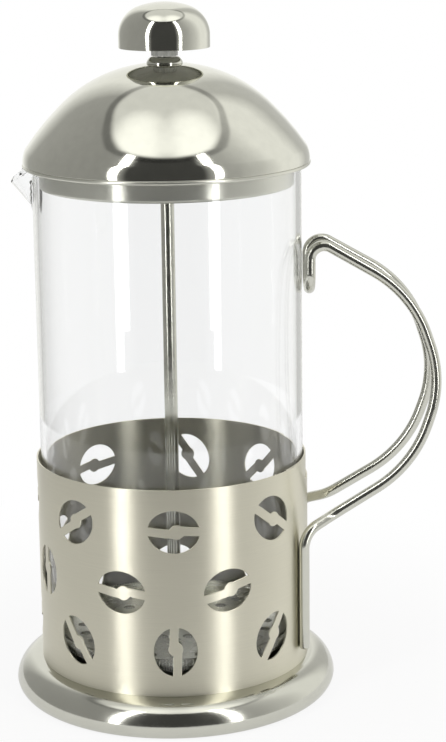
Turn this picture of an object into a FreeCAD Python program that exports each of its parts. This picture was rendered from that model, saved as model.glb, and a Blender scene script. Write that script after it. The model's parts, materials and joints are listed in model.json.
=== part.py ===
# French press: a glass beaker in a punched steel frame with a bent wire handle,
# a domed lid and a sliding plunger with its strainer.
#
# Frame of the part: millimetres, +Z up, origin on the floor under the middle of the foot.
# +X points through the handle and -X through the pouring spout.

import FreeCAD, Part
import math
import os

import Sketcher
from FreeCAD import Placement, Rotation, Vector

DOC = FreeCAD.newDocument("french_press")

# ---------------------------------------------------------------------------
# Driving sizes, one spreadsheet row each
# ---------------------------------------------------------------------------

SIZES = {
    # foot: a pressed and polished ring with a flat hem that stands on the table
    "foot_overhang": 10.0,
    "foot_height": 13.5,
    "foot_sheet": 0.8,
    "foot_widest_z": 4.6,
    "foot_hem_setback": 3.6,
    "foot_hem_width": 2.6,
    "foot_hem_tuck": 0.8,
    "foot_cove": 1.2,
    "foot_cove_drop": 0.3,
    "foot_cove_start": 0.2,
    "foot_shelf_width": 7.0,
    # floor disc that the beaker stands on
    "floor_sheet": 1.0,
    "floor_gap": 0.2,
    # sleeve: rolled sheet with lapped ends and punched coffee bean shapes
    "sleeve_radius": 51.2,
    "sleeve_sheet": 0.6,
    "sleeve_height": 78.5,
    "lap_start": 62.0,
    "lap_end": 118.0,
    "lap_corner": 9.0,
    "bean_long": 18.8,
    "bean_short": 16.0,
    "bean_band": 3.2,
    "bean_step": 0.75,
    "bean_bulge": 2.7,
    "bean_bulge_shift": 1.0,
    # handle: one round wire, bent double
    "wire_radius": 2.0,
    "wire_gap": 0.05,
    "hook_gap": 0.7,
    "hook_spread": 7.2,
    "hook_low_drop": 48.0,
    # beaker
    "glass_gap": 1.1,
    "glass_wall": 2.0,
    "glass_floor": 3.0,
    "glass_height": 187.9,
    "glass_corner": 5.0,
    "spout_reach": 8.5,
    "spout_depth": 17.0,
    "spout_drop": 5.4,
    "spout_lip_radius": 10.0,
    "spout_root_setback": 1.0,
    # lid
    "lid_overhang": 3.2,
    "lid_sheet": 0.7,
    "lid_height": 35.4,
    "lid_flank_setback": 13.1,
    "lid_flank_drop": 15.8,
    "lid_shoulder_setback": 1.1,
    "lid_shoulder_rise": 5.2,
    "lid_neck_radius": 6.6,
    "lid_hole_gap": 0.1,
    "flange_sheet": 0.6,
    "flange_overhang": 0.2,
    "flange_bead": 0.7,
    "pan_hole_gap": 0.6,
    "skirt_gap": 0.7,
    "skirt_depth": 8.0,
    "bush_radius": 4.6,
    "bush_flange": 2.5,
    "bush_flange_edge": 0.5,
    "bush_top_radius": 4.9,
    "bush_top_bend": 3.4,
    "bush_length": 8.0,
    "bush_nut_flats": 11.0,
    "bush_nut_height": 2.4,
    # plunger
    "rod_radius": 2.5,
    "running_gap": 0.05,
    "stub_radius": 2.0,
    "knob_lift": 3.3,
    "knob_radius": 16.7,
    "knob_sheet": 0.7,
    "knob_height": 16.4,
    "knob_skirt": 4.7,
    "knob_crown_radius": 9.9,
    "knob_crown_drop": 1.8,
    "core_radius": 4.85,
    "core_rib": 0.8,
    "core_ribs": 12,
    "core_disc": 2.4,
    "core_disc_setback": 0.4,
    "knob_rest_gap": 0.3,
    "knob_shoulder_rise": 1.5,
    "knob_nut_flats": 7.0,
    "knob_nut_height": 1.6,
    "stub_end": 1.0,
    # strainer stack, from the bottom up
    "stack_gap": 0.6,
    "stub_inset": 0.2,
    "hub_nut_flats": 11.0,
    "hub_nut_height": 3.0,
    "washer_sheet": 0.6,
    "washer_radius": 6.2,
    "plate_sheet": 0.8,
    "cross_plate_gap": 1.6,
    "mesh_sheet": 0.3,
    "mesh_gap": 0.5,
    "coil_radius": 1.5,
    "coil_gap": 0.3,
    "coil_seat_gap": 0.05,
    "coil_lip_gap": 0.1,
    "spreader_lip": 2.2,
    "collar_radius": 5.0,
    "collar_height": 3.0,
}


def make_sheet():
    sheet = DOC.addObject("Spreadsheet::Sheet", "sizes")
    for row, (name, value) in enumerate(SIZES.items(), start=1):
        sheet.set(f"A{row}", name)
        sheet.set(f"B{row}", str(value))
        sheet.setAlias(f"B{row}", name)
    DOC.recompute()
    return sheet


SHEET = make_sheet()


class Size:
    """A length that knows its value now and the spreadsheet formula that gives it."""

    def __init__(self, value, formula):
        self.value = value
        self.formula = formula

    def join(self, other, sign, value):
        return Size(value, f"({self.formula} {sign} {as_size(other).formula})")

    def __add__(self, other):
        return self.join(other, "+", self.value + as_size(other).value)

    def __sub__(self, other):
        return self.join(other, "-", self.value - as_size(other).value)

    def __mul__(self, other):
        return self.join(other, "*", self.value * as_size(other).value)

    def __truediv__(self, other):
        return self.join(other, "/", self.value / as_size(other).value)


def as_size(number):
    if isinstance(number, Size):
        return number
    return Size(float(number), repr(float(number)))


def cell(name):
    return Size(float(SHEET.get(name)), f"sizes.{name}")


def bind(thing, property_name, size):
    thing.setExpression(property_name, as_size(size).formula)


# ---------------------------------------------------------------------------
# Sketch and body helpers
# ---------------------------------------------------------------------------

def new_body(label):
    body = DOC.addObject("PartDesign::Body", label)
    body.Label = label
    return body


def origin_feature(body, role):
    for feature in body.Origin.OriginFeatures:
        if feature.Role == role:
            return feature
    raise ValueError(role)


def new_sketch(body, name, plane, lift=None):
    sketch = body.newObject("Sketcher::SketchObject", name)
    sketch.AttachmentSupport = [(origin_feature(body, plane), "")]
    sketch.MapMode = "FlatFace"
    if lift is not None:
        sketch.AttachmentOffset = Placement(Vector(0, 0, lift.value), Rotation())
        bind(sketch, "AttachmentOffset.Base.z", lift)
    return sketch


def fix_point(sketch, edge, end, across, up):
    """Ties one end of an edge to its distances from the sketch's origin."""
    for kind, size in (("DistanceX", across), ("DistanceY", up)):
        index = sketch.addConstraint(Sketcher.Constraint(kind, -1, 1, edge, end, size.value))
        bind(sketch, f"Constraints[{index}]", size)


def arc_through(start, finish, radius):
    """The short arc between two points; a positive radius has its centre on the left."""
    chord = finish - start
    half = chord.Length / 2
    left = Vector(-chord.y, chord.x, 0).normalize()
    side = math.copysign(1, radius)
    reach = math.sqrt(max(radius * radius - half * half, 0))
    centre = start + chord * 0.5 + left * (reach * side)
    angles = [math.atan2(p.y - centre.y, p.x - centre.x) for p in (start, finish)]
    if side < 0:
        angles.reverse()
    circle = Part.Circle(centre, Vector(0, 0, 1), abs(radius))
    return Part.ArcOfCircle(circle, angles[0], angles[1])


def draw_outline(sketch, corners):
    """Closed outline. A corner is (across, up), or (across, up, radius) when an arc
    of that signed radius leads to it."""
    corners = [tuple(as_size(size) for size in corner) for corner in corners]
    points = [Vector(corner[0].value, corner[1].value, 0) for corner in corners]
    ends = []
    for index, corner in enumerate(corners):
        start = points[index - 1]
        finish = points[index]
        if len(corner) == 2:
            edge = sketch.addGeometry(Part.LineSegment(start, finish))
            ends.append((edge, 1, 2))
            continue
        edge = sketch.addGeometry(arc_through(start, finish, corner[2].value))
        forward = corner[2].value > 0
        ends.append((edge, 1, 2) if forward else (edge, 2, 1))
        limit = sketch.addConstraint(Sketcher.Constraint("Radius", edge, abs(corner[2].value)))
        size = corner[2] if forward else corner[2] * -1
        bind(sketch, f"Constraints[{limit}]", size)
    for index, (edge, first, last) in enumerate(ends):
        following = ends[(index + 1) % len(ends)]
        sketch.addConstraint(Sketcher.Constraint("Coincident", edge, last, following[0], following[1]))
        fix_point(sketch, edge, last, corners[index][0], corners[index][1])


def draw_circle(sketch, radius, across=None, up=None):
    across = as_size(0 if across is None else across)
    up = as_size(0 if up is None else up)
    centre = Vector(across.value, up.value, 0)
    edge = sketch.addGeometry(Part.Circle(centre, Vector(0, 0, 1), radius.value))
    fix_point(sketch, edge, 3, across, up)
    index = sketch.addConstraint(Sketcher.Constraint("Radius", edge, radius.value))
    bind(sketch, f"Constraints[{index}]", radius)


def turn(body, name, corners, kind="PartDesign::Revolution"):
    """Revolves an outline of (radius, height) corners about the vertical axis."""
    sketch = new_sketch(body, name + "_outline", "XZ_Plane")
    draw_outline(sketch, corners)
    feature = body.newObject(kind, name)
    feature.Profile = sketch
    feature.ReferenceAxis = (sketch, ["V_Axis"])
    feature.Angle = 360
    DOC.recompute()
    return feature


def turned(label, corners):
    body = new_body(label)
    turn(body, label + "_turned", corners)
    return body


def pad(body, name, sketch, length):
    feature = body.newObject("PartDesign::Pad", name)
    feature.Profile = sketch
    feature.Length = length.value
    bind(feature, "Length", length)
    DOC.recompute()
    return feature


def drill(body, name, sketch):
    """Cuts right through the body both ways, and proves that it cut something."""
    before = body.Shape.Volume
    feature = body.newObject("PartDesign::Pocket", name)
    feature.Profile = sketch
    feature.Type = "ThroughAll"
    feature.Midplane = True
    DOC.recompute()
    if not body.Shape.Volume < before:
        raise RuntimeError(f"{name} cuts nothing")
    return feature


def ring_of(body, name, feature, count):
    pattern = body.newObject("PartDesign::PolarPattern", name)
    pattern.Originals = [feature]
    pattern.Axis = (origin_feature(body, "Z_Axis"), [""])
    pattern.Angle = 360
    pattern.Occurrences = int(count)
    body.Tip = pattern
    DOC.recompute()
    return pattern


def tube_outline(inner, outer, low, high):
    return [(inner, low), (outer, low), (outer, high), (inner, high)]


# ---------------------------------------------------------------------------
# Heights and radii that several pieces share
# ---------------------------------------------------------------------------

SHELF_Z = cell("foot_height")
FLOOR_TOP = SHELF_Z + cell("floor_sheet")
SLEEVE_TOP = SHELF_Z + cell("sleeve_height")
SLEEVE_INNER = cell("sleeve_radius") - cell("sleeve_sheet")
GLASS_OUTER = SLEEVE_INNER - cell("glass_gap")
GLASS_INNER = GLASS_OUTER - cell("glass_wall")
GLASS_BASE = FLOOR_TOP
FOOT_RADIUS = cell("sleeve_radius") + cell("foot_overhang")
LID_RADIUS = GLASS_OUTER + cell("lid_overhang")
GLASS_RIM = GLASS_BASE + cell("glass_height")
GLASS_INSIDE_Z = GLASS_BASE + cell("glass_floor")
FLANGE_TOP = GLASS_RIM + cell("flange_sheet")
LID_TOP = FLANGE_TOP + cell("lid_height")
SKIRT_OUTER = GLASS_INNER - cell("skirt_gap")
SKIRT_LOW = GLASS_RIM - cell("skirt_depth")
BUSH_TOP = LID_TOP + cell("bush_flange")
ROD_BORE = cell("rod_radius") + cell("running_gap")
KNOB_LOW = BUSH_TOP + cell("knob_lift")
KNOB_TOP = KNOB_LOW + cell("knob_height")
KNOB_SHOULDER = KNOB_LOW + cell("knob_shoulder_rise")
CORE_TOP = KNOB_LOW + cell("knob_skirt") - cell("core_disc_setback")
STUB_BORE = cell("stub_radius") + cell("running_gap")
NUT_LOW = GLASS_INSIDE_Z + cell("stack_gap")
WASHER_LOW = NUT_LOW + cell("hub_nut_height")
CROSS_LOW = WASHER_LOW + cell("washer_sheet")
MESH_LOW = CROSS_LOW + cell("plate_sheet")
SPREADER_LOW = MESH_LOW + cell("mesh_sheet")
COLLAR_LOW = SPREADER_LOW + cell("plate_sheet")
ROD_SHOULDER = COLLAR_LOW + cell("collar_height")


# ---------------------------------------------------------------------------
# Frame: foot, floor disc, sleeve and handle
# ---------------------------------------------------------------------------

FOOT_FLANK_EASE = 1.08


def bend_through(across, up):
    """Radius of the arc that starts straight up and then moves this far across and up."""
    return (across * across + up * up) / (across * 2)


def make_base_foot():
    """Pressed ring: a shelf under the sleeve, a small cove, a convex flank and a tucked hem."""
    sheet = cell("foot_sheet")
    widest = cell("foot_widest_z")
    cove_out = cell("sleeve_radius") + cell("foot_cove")
    cove_z = SHELF_Z - cell("foot_cove_drop")
    cove_inside = cove_out - cell("foot_cove_drop")
    flank_inside = FOOT_RADIUS - sheet
    flank = bend_through(FOOT_RADIUS - cove_out, cove_z - widest) * FOOT_FLANK_EASE
    flank_in = bend_through(flank_inside - cove_inside, SHELF_Z - sheet - widest) * FOOT_FLANK_EASE
    hem_out = FOOT_RADIUS - cell("foot_hem_setback")
    hem_in = hem_out - cell("foot_hem_width")
    shelf_in = SLEEVE_INNER - cell("foot_shelf_width")
    tuck = widest + cell("foot_hem_tuck")
    return turned("base_foot", [
        (shelf_in, SHELF_Z - sheet),
        (cove_inside, SHELF_Z - sheet),
        (flank_inside, widest, flank_in * -1),
        (hem_out, sheet, (tuck - sheet) * -1),
        (hem_in, sheet),
        (hem_in, 0),
        (hem_out, 0),
        (FOOT_RADIUS, widest, tuck),
        (cove_out, cove_z, flank),
        (cell("sleeve_radius") + cell("foot_cove_start"), SHELF_Z),
        (shelf_in, SHELF_Z),
    ])


def make_base_floor():
    edge = SLEEVE_INNER - cell("sleeve_sheet") - cell("floor_gap")
    return turned("base_floor", [
        (0, SHELF_Z),
        (edge, SHELF_Z),
        (edge, FLOOR_TOP),
        (0, FLOOR_TOP),
    ])


# Rows of punched beans: share of the sleeve's height below its rim, then each bean's
# direction round the sleeve from -Y towards +X and the tilt of its band, in degrees.
BEAN_ROWS = [
    (0.20, [(0, -6), (45, -37), (-45, 32), (-90, 20), (-142, -7), (172, 55), (134, -43)]),
    (0.50, [(-22.5, -8), (22.5, 12), (-67.5, 88), (-112.5, -30), (-157.5, 40), (157.5, 5)]),
    (0.78, [(0, 88), (45, 55), (-45, -56), (-90, 10), (-135, 62), (180, -12), (135, 30)]),
]


def bean_cutter(height, around, tilt):
    """A bean-shaped punch less the stepped band that stays across its middle."""
    long_half = cell("bean_long").value / 2
    short_half = cell("bean_short").value / 2
    band_half = cell("bean_band").value / 2
    step = cell("bean_step").value
    reach = cell("sleeve_radius").value + 10
    start = reach / 2
    oval = Part.Ellipse(Vector(0, 0, 0), long_half, short_half)
    punch = Part.Face(Part.Wire(oval.toShape())).extrude(Vector(0, 0, reach - start))
    for side in (-1, 1):
        corner = Vector(min(0, side * long_half * 1.1), side * step - band_half, 0)
        strip = Part.makeBox(long_half * 1.1, 2 * band_half, reach - start, corner)
        punch = punch.cut(strip)
    bulge_at = Vector(cell("bean_bulge_shift").value, 0, 0)
    bulge = Part.makeCylinder(cell("bean_bulge").value, reach - start, bulge_at)
    punch = punch.cut(bulge)
    # the punch's own Z becomes the outward direction, its X the horizontal on the sleeve
    stand = Rotation(Vector(1, 0, 0), Vector(0, 0, 1), Vector(0, -1, 0), "ZXY")
    tilted = Rotation(Vector(0, 0, 1), tilt)
    swung = Rotation(Vector(0, 0, 1), around)
    out = swung.multVec(Vector(0, -1, 0))
    at = out * start + Vector(0, 0, height)
    punch.Placement = Placement(at, swung.multiply(stand).multiply(tilted))
    return punch


def sector(radius, low, high, first, last):
    """A pie slice of a cylinder between two directions counted from -Y towards +X."""
    slice_solid = Part.makeCylinder(radius, high - low, Vector(0, 0, low), Vector(0, 0, 1), last - first)
    slice_solid.rotate(Vector(0, 0, 0), Vector(0, 0, 1), first - 90)
    return slice_solid


LAP_CORNER_SLOPE = 0.59
LAP_ROOM = 2.0
LAP_TUCK = 6.0


def lap_corner_cutter():
    """Wedge that takes the top corner off the outer sheet end, slanting down to the lap."""
    first = cell("lap_start").value
    drop = cell("lap_corner").value
    radius = cell("sleeve_radius").value + 1
    top = SLEEVE_TOP.value
    width = radius * 1.2
    at = math.radians(first - 90)
    out = Vector(math.cos(at), math.sin(at), 0)
    along = Vector(-math.sin(at), math.cos(at), 0)
    start = out * (radius * LAP_CORNER_SLOPE) + Vector(0, 0, top)
    corners = [start, start + along * width, start + along * width - Vector(0, 0, width * LAP_CORNER_SLOPE)]
    wedge = Part.Face(Part.makePolygon(corners + [start])).extrude(out * radius)
    room = sector(radius, top - drop, top + 1, first, cell("lap_end").value - LAP_ROOM)
    return wedge.common(room)


def make_sleeve():
    radius = cell("sleeve_radius").value
    sheet = cell("sleeve_sheet").value
    low = SHELF_Z.value
    height = cell("sleeve_height").value
    outer = Part.makeCylinder(radius, height, Vector(0, 0, low))
    wall = outer.cut(Part.makeCylinder(radius - sheet, height, Vector(0, 0, low)))
    wall = wall.cut(lap_corner_cutter())
    lap_from = cell("lap_start").value - LAP_TUCK
    lap = sector(radius - sheet, low, low + height, lap_from, cell("lap_end").value)
    lap = lap.cut(Part.makeCylinder(radius - 2 * sheet, height, Vector(0, 0, low)))
    shape = wall.fuse(lap)
    for share, beans in BEAN_ROWS:
        for around, tilt in beans:
            shape = shape.cut(bean_cutter(low + height * (1 - share), around, tilt))
    sleeve = DOC.addObject("Part::Feature", "sleeve")
    sleeve.Label = "sleeve"
    sleeve.Shape = shape.removeSplitter().Solids[0]
    return sleeve


# Corners of one leg of the handle wire, from its welded lower end to the hook:
# distance out from the sleeve, half the spread between the two legs, drop below the glass
# rim, bend radius.
HANDLE_CORNERS = [
    (8.8, 14.0, 132.4, 14.0),
    (39.1, 12.3, 114.1, 44.0),
    (50.0, 10.6, 82.4, 42.0),
    (38.8, 9.2, 49.0, 44.0),
]
WELD_TURN = 24.0
WELD_LOW_RISE = 6.5
WELD_BEND_DROP = 137.1
WELD_BEND_RADIUS = 8.5
HOOK_TOP_DROP = 27.1
HOOK_BEND_RADIUS = 5.2
HOOK_LOOP_SHARE = 0.96


def rounded_path(corners):
    """Straight runs joined by tangent arcs; each corner is (point, radius)."""
    edges = []
    start = corners[0][0]
    for index in range(1, len(corners) - 1):
        corner, radius = corners[index]
        back = (corners[index - 1][0] - corner).normalize()
        ahead = (corners[index + 1][0] - corner).normalize()
        half = back.getAngle(ahead) / 2
        cut = radius / math.tan(half)
        first = corner + back * cut
        last = corner + ahead * cut
        inward = (back + ahead).normalize()
        middle = corner + inward * (radius / math.sin(half) - radius)
        edges.append(Part.LineSegment(start, first).toShape())
        edges.append(Part.Arc(first, middle, last).toShape())
        start = last
    edges.append(Part.LineSegment(start, corners[-1][0]).toShape())
    return edges


def make_handle_wire():
    wire_radius = cell("wire_radius").value
    weld_out = cell("sleeve_radius").value + wire_radius + cell("wire_gap").value
    weld_at = math.radians(WELD_TURN)
    hook_out = GLASS_OUTER.value + cell("hook_gap").value + wire_radius
    spread = cell("hook_spread").value
    leg_x = weld_out * math.cos(weld_at)
    leg_y = weld_out * math.sin(weld_at)
    rim = GLASS_RIM.value
    half = [(Vector(leg_x, leg_y, SHELF_Z.value + WELD_LOW_RISE), 0)]
    half.append((Vector(leg_x, leg_y, rim - WELD_BEND_DROP), WELD_BEND_RADIUS))
    sleeve_out = cell("sleeve_radius").value
    for out, side, drop, radius in HANDLE_CORNERS:
        half.append((Vector(sleeve_out + out, side, rim - drop), radius))
    half.append((Vector(hook_out, spread, rim - HOOK_TOP_DROP), HOOK_BEND_RADIUS))
    hook_low = rim - cell("hook_low_drop").value
    half.append((Vector(hook_out, spread, hook_low), spread * HOOK_LOOP_SHARE))
    mirrored = [(Vector(point.x, -point.y, point.z), radius) for point, radius in reversed(half)]
    edges = rounded_path(half + mirrored)
    spine = Part.Wire(edges)
    ring = Part.Circle(half[0][0], Vector(0, 0, 1), wire_radius)
    sweep = spine.makePipeShell([Part.Wire(ring.toShape())], True, False)
    section = math.pi * wire_radius ** 2
    print("handle wire volume over section times length:", sweep.Volume / (section * spine.Length))
    handle = DOC.addObject("Part::Feature", "handle_wire")
    handle.Label = "handle_wire"
    handle.Shape = sweep
    return handle


# ---------------------------------------------------------------------------
# Beaker
# ---------------------------------------------------------------------------

def loft(body, name, kind, lower, upper):
    feature = body.newObject(kind, name)
    feature.Profile = lower
    feature.Sections = [upper]
    feature.Ruled = True
    DOC.recompute()
    return feature


SPOUT_ROOT_SHARE = 0.5


def spout_sections(body, name, shrink):
    """Two circles whose skin is the spout: small in the wall, wide and far out at the rim."""
    depth = cell("spout_depth")
    root_radius = cell("spout_lip_radius") * SPOUT_ROOT_SHARE
    root_reach = GLASS_OUTER - cell("spout_root_setback")
    tip_reach = GLASS_OUTER + cell("spout_reach")
    rim_reach = root_reach + (tip_reach - root_reach) * depth / (depth - cell("spout_drop"))
    root_out = root_reach - root_radius
    lip_out = rim_reach - cell("spout_lip_radius")
    sketches = []
    root = ("root", root_radius - shrink * SPOUT_ROOT_SHARE, root_out, GLASS_RIM - depth)
    lip = ("lip", cell("spout_lip_radius") - shrink, lip_out, GLASS_RIM)
    for tag, radius, out, height in (root, lip):
        sketch = new_sketch(body, f"{name}_{tag}", "XY_Plane", height)
        draw_circle(sketch, radius, out * -1, 0)
        sketches.append(sketch)
    return sketches


def make_beaker():
    body = new_body("beaker")
    corner = cell("glass_corner")
    turn(body, "glass_outside", [
        (0, GLASS_BASE),
        (GLASS_OUTER - corner, GLASS_BASE),
        (GLASS_OUTER, GLASS_BASE + corner, corner),
        (GLASS_OUTER, GLASS_RIM),
        (0, GLASS_RIM),
    ])
    lower, upper = spout_sections(body, "spout_outside", as_size(0))
    loft(body, "spout_outside", "PartDesign::AdditiveLoft", lower, upper)
    hollow = corner - cell("glass_wall") + cell("glass_floor") - cell("glass_wall")
    before = body.Shape.Volume
    turn(body, "glass_inside", [
        (0, GLASS_INSIDE_Z),
        (GLASS_INNER - hollow, GLASS_INSIDE_Z),
        (GLASS_INNER, GLASS_INSIDE_Z + hollow, hollow),
        (GLASS_INNER, GLASS_RIM + 1),
        (0, GLASS_RIM + 1),
    ], "PartDesign::Groove")
    lower, upper = spout_sections(body, "spout_inside", cell("glass_wall"))
    loft(body, "spout_inside", "PartDesign::SubtractiveLoft", lower, upper)
    slope = new_sketch(body, "lip_slope", "XZ_Plane")
    reach = GLASS_OUTER + cell("spout_reach") * 2
    draw_outline(slope, [
        (GLASS_OUTER * -1, GLASS_RIM),
        (reach * -1, GLASS_RIM - cell("spout_drop") * 2),
        (reach * -1, GLASS_RIM + 1),
        (GLASS_OUTER * -1, GLASS_RIM + 1),
    ])
    drill(body, "lip_slope_cut", slope)
    if not body.Shape.Volume < before:
        raise RuntimeError("the beaker is not hollow")
    return body


# ---------------------------------------------------------------------------
# Lid: dome, insert, rod bush and its nut
# ---------------------------------------------------------------------------

LID_CROWN_BEND = 51.1
LID_FLANK_BEND = 94.0
LID_SHOULDER_BEND = 11.0
# how far the sheet's inner face lies inwards and down from a corner of its outer face
LID_FLANK_SLANT = 0.7
LID_SHOULDER_SLANT = (0.95, 0.3)


def make_lid_dome():
    """Three tangent bends: a round crown, a long flank and a tight shoulder at the rim."""
    sheet = cell("lid_sheet")
    flank_r = LID_RADIUS - cell("lid_flank_setback")
    flank_z = LID_TOP - cell("lid_flank_drop")
    shoulder_r = LID_RADIUS - cell("lid_shoulder_setback")
    shoulder_z = FLANGE_TOP + cell("lid_shoulder_rise")
    hole = cell("bush_radius") + cell("lid_hole_gap")
    slant = sheet * LID_FLANK_SLANT
    inward, down = (sheet * share for share in LID_SHOULDER_SLANT)
    return turned("lid_dome", [
        (LID_RADIUS, FLANGE_TOP),
        (shoulder_r, shoulder_z, LID_SHOULDER_BEND),
        (flank_r, flank_z, LID_FLANK_BEND),
        (cell("lid_neck_radius"), LID_TOP, LID_CROWN_BEND),
        (hole, LID_TOP),
        (hole, LID_TOP - sheet),
        (cell("lid_neck_radius"), LID_TOP - sheet),
        (flank_r - slant, flank_z - slant, (as_size(LID_CROWN_BEND) - sheet) * -1),
        (shoulder_r - inward, shoulder_z - down, (as_size(LID_FLANK_BEND) - sheet) * -1),
        (LID_RADIUS - sheet, FLANGE_TOP, (as_size(LID_SHOULDER_BEND) - sheet) * -1),
    ])


def make_lid_insert():
    """A shallow pan that hangs in the beaker's mouth from a flange with a rolled edge."""
    sheet = cell("flange_sheet")
    bead = cell("flange_bead")
    bead_out = LID_RADIUS + cell("flange_overhang")
    bead_middle = bead_out - bead
    bead_in = bead_middle - bead
    bead_z = FLANGE_TOP - bead
    skirt_in = SKIRT_OUTER - sheet
    hole = cell("rod_radius") + cell("pan_hole_gap")
    return turned("lid_insert", [
        (hole, SKIRT_LOW),
        (SKIRT_OUTER, SKIRT_LOW),
        (SKIRT_OUTER, GLASS_RIM),
        (bead_in, GLASS_RIM),
        (bead_in, bead_z),
        (bead_middle, bead_z - bead, bead),
        (bead_out, bead_z, bead),
        (bead_middle, FLANGE_TOP, bead),
        (skirt_in, FLANGE_TOP),
        (skirt_in, SKIRT_LOW + sheet),
        (hole, SKIRT_LOW + sheet),
    ])


def make_lid_bush():
    """Bell-shaped guide on the crown of the dome; its nut clamps it from below."""
    return turned("lid_bush", [
        (ROD_BORE, BUSH_TOP - cell("bush_length")),
        (cell("bush_radius"), BUSH_TOP - cell("bush_length")),
        (cell("bush_radius"), LID_TOP),
        (cell("lid_neck_radius"), LID_TOP),
        (cell("lid_neck_radius"), LID_TOP + cell("bush_flange_edge")),
        (cell("bush_top_radius"), BUSH_TOP, cell("bush_top_bend")),
        (ROD_BORE, BUSH_TOP),
    ])


def hexagon(sketch, flats, bore):
    """Regular hexagon by its width across flats, with a round bore."""
    corner = flats / math.sqrt(3)
    turns = [(math.cos(math.radians(60 * k)), math.sin(math.radians(60 * k))) for k in range(6)]
    draw_outline(sketch, [(corner * across, corner * up) for across, up in turns])
    draw_circle(sketch, bore)


def make_hex_nut(label, flats, bore, low, height):
    body = new_body(label)
    sketch = new_sketch(body, label + "_outline", "XY_Plane", low)
    hexagon(sketch, flats, bore)
    pad(body, label + "_pad", sketch, height)
    return body


# ---------------------------------------------------------------------------
# Plunger: rod, knob and strainer stack
# ---------------------------------------------------------------------------

def make_plunger_rod():
    """Round rod with a thinner threaded stub at each end, the knob's and the strainer's."""
    rod = cell("rod_radius")
    stub = cell("stub_radius")
    stub_low = NUT_LOW + cell("stub_inset")
    stub_top = CORE_TOP + cell("knob_nut_height") + cell("stub_end")
    return turned("plunger_rod", [
        (0, stub_low),
        (stub, stub_low),
        (stub, ROD_SHOULDER),
        (rod, ROD_SHOULDER),
        (rod, KNOB_SHOULDER),
        (stub, KNOB_SHOULDER),
        (stub, stub_top),
        (0, stub_top),
    ])


def make_knob_core():
    """Ribbed plastic core: a stem on the rod and a disc that carries the cap."""
    body = new_body("knob_core")
    disc_low = CORE_TOP - cell("core_disc")
    disc_radius = cell("knob_radius") - cell("knob_sheet") - cell("running_gap")
    stem_low = BUSH_TOP + cell("knob_rest_gap")
    stem_radius = cell("core_radius") - cell("core_rib") / 2
    turn(body, "core_turned", [
        (ROD_BORE, stem_low),
        (stem_radius, stem_low),
        (stem_radius, disc_low),
        (disc_radius, disc_low),
        (disc_radius, CORE_TOP),
        (STUB_BORE, CORE_TOP),
        (STUB_BORE, KNOB_SHOULDER),
        (ROD_BORE, KNOB_SHOULDER),
    ])
    sketch = new_sketch(body, "core_rib_outline", "XY_Plane", stem_low)
    draw_circle(sketch, cell("core_rib") / 2, stem_radius, 0)
    rib = pad(body, "core_rib_pad", sketch, disc_low - stem_low)
    ring_of(body, "core_rib_ring", rib, cell("core_ribs").value)
    return body


KNOB_CORNER_BEND = 11.1
# how far the cap's inner face lies inwards and down from the crown's edge, in sheets
KNOB_CROWN_SLANT = (0.45, 0.9)


def crown_bend(radius, drop):
    """Radius of the sphere, centred on the axis, that falls by drop at this radius."""
    return (radius * radius + drop * drop) / (drop * 2)


def make_knob_cap():
    """Hollow polished cap, open below: straight skirt, tight corner and a low crown."""
    sheet = cell("knob_sheet")
    outer = cell("knob_radius")
    skirt_top = KNOB_LOW + cell("knob_skirt")
    crown_r = cell("knob_crown_radius")
    crown_z = KNOB_TOP - cell("knob_crown_drop")
    inner_r = crown_r - sheet * KNOB_CROWN_SLANT[0]
    inner_z = crown_z - sheet * KNOB_CROWN_SLANT[1]
    inner_top = KNOB_TOP - sheet
    return turned("knob_cap", [
        (outer - sheet, KNOB_LOW),
        (outer, KNOB_LOW),
        (outer, skirt_top),
        (crown_r, crown_z, KNOB_CORNER_BEND),
        (0, KNOB_TOP, crown_bend(crown_r, cell("knob_crown_drop"))),
        (0, inner_top),
        (inner_r, inner_z, crown_bend(inner_r, inner_top - inner_z) * -1),
        (outer - sheet, skirt_top, (as_size(KNOB_CORNER_BEND) - sheet) * -1),
    ])


def make_washer():
    return turned("hub_washer", tube_outline(STUB_BORE, cell("washer_radius"), WASHER_LOW, CROSS_LOW))


# Rings of round holes: name, share of the plate's radius, hole radius and how many.
CROSS_HOLES = [("inner", 0.38, 5.0, 8), ("outer", 0.74, 6.0, 14)]
SPREADER_HOLES = [("inner", 0.36, 2.2, 10), ("middle", 0.58, 2.2, 16), ("outer", 0.80, 2.2, 24)]


def make_cross_plate():
    """Bottom plate with two rings of round holes."""
    body = new_body("cross_plate")
    edge = GLASS_INNER - cell("cross_plate_gap")
    turn(body, "cross_plate_disc", tube_outline(STUB_BORE, edge, CROSS_LOW, MESH_LOW))
    for name, share, radius, count in CROSS_HOLES:
        sketch = new_sketch(body, f"cross_{name}_hole", "XY_Plane", CROSS_LOW)
        draw_circle(sketch, as_size(radius), edge * share, 0)
        hole = drill(body, f"cross_{name}_drill", sketch)
        ring_of(body, f"cross_{name}_ring", hole, count)
    return body


def make_filter_mesh():
    edge = GLASS_INNER - cell("mesh_gap")
    return turned("filter_mesh", tube_outline(STUB_BORE, edge, MESH_LOW, SPREADER_LOW))


def spreader_radius():
    return GLASS_INNER - cell("coil_gap") - cell("coil_radius") * 2 - cell("coil_lip_gap")


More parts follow.
